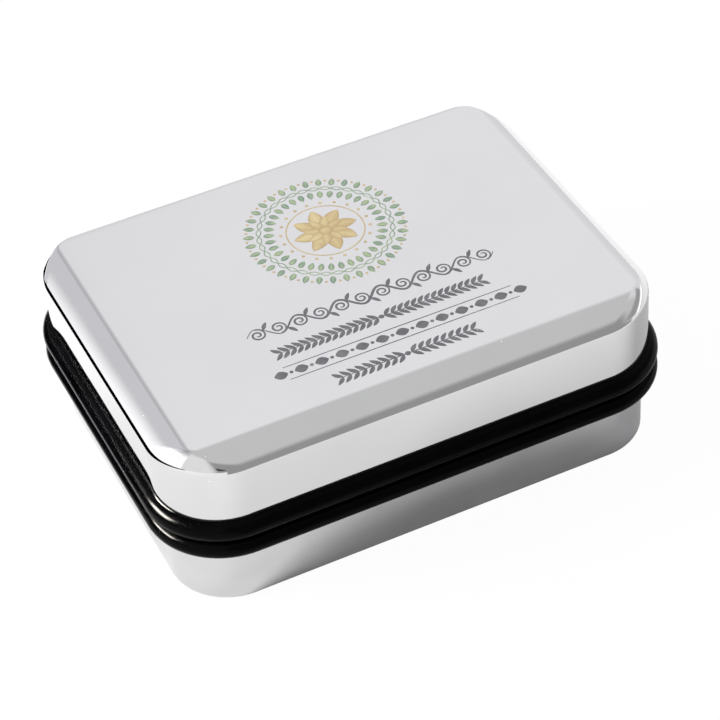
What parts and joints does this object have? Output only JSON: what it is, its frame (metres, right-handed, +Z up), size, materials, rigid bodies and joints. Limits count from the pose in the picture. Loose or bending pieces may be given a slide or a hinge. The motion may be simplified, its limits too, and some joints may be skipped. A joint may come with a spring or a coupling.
{
  "type": "necklace gift box",
  "caption": "Hinged metal gift box for a necklace, with polished chrome lid and base, a black beaded frame round the middle and a velvet pad inside.",
  "frame": {"origin": "middle of the underside, on the surface that the box stands on", "axes": "+Z up, +X along the long side, the front is at -Y and the hinge runs along the back at +Y"},
  "size_m": [0.095, 0.0736, 0.0327],
  "materials": {
    "chrome_plate": "polished",
    "black_plastic": "gloss",
    "lining_cloth": "matte",
    "felt": "matte",
    "board": "matte",
    "foam": "matte",
    "satin": "satin",
    "velvet": "matte",
    "hinge_steel": "satin",
    "rivet_steel": "satin",
    "spring_steel": "satin"
  },
  "bodies": {
    "base": {"base_shell": "chrome_plate", "base_frame": "black_plastic", "base_lining": "lining_cloth", "base_felt": "felt", "insert_board": "board", "insert_foam": "foam", "insert_velvet": "velvet", "insert_ribbon": "satin", "base_hinge_leaf": "hinge_steel", "base_rivets": "rivet_steel", "hinge_pin": "hinge_steel", "snap_spring": "spring_steel"},
    "lid": {"lid_shell": "chrome_plate", "lid_frame": "black_plastic", "lid_lining": "lining_cloth", "lid_board": "board", "lid_foam": "foam", "lid_satin": "satin", "lid_hinge_leaf": "hinge_steel", "lid_rivets": "rivet_steel"}
  },
  "joints": [
    {"name": "lid_hinge", "type": "hinge", "parent": "base", "child": "lid", "pos_m": [0, 0.0358, 0.01505], "axis": [-1, 0, 0], "range_deg": [0, 95], "deforming": ["snap_spring"]}
  ]
}
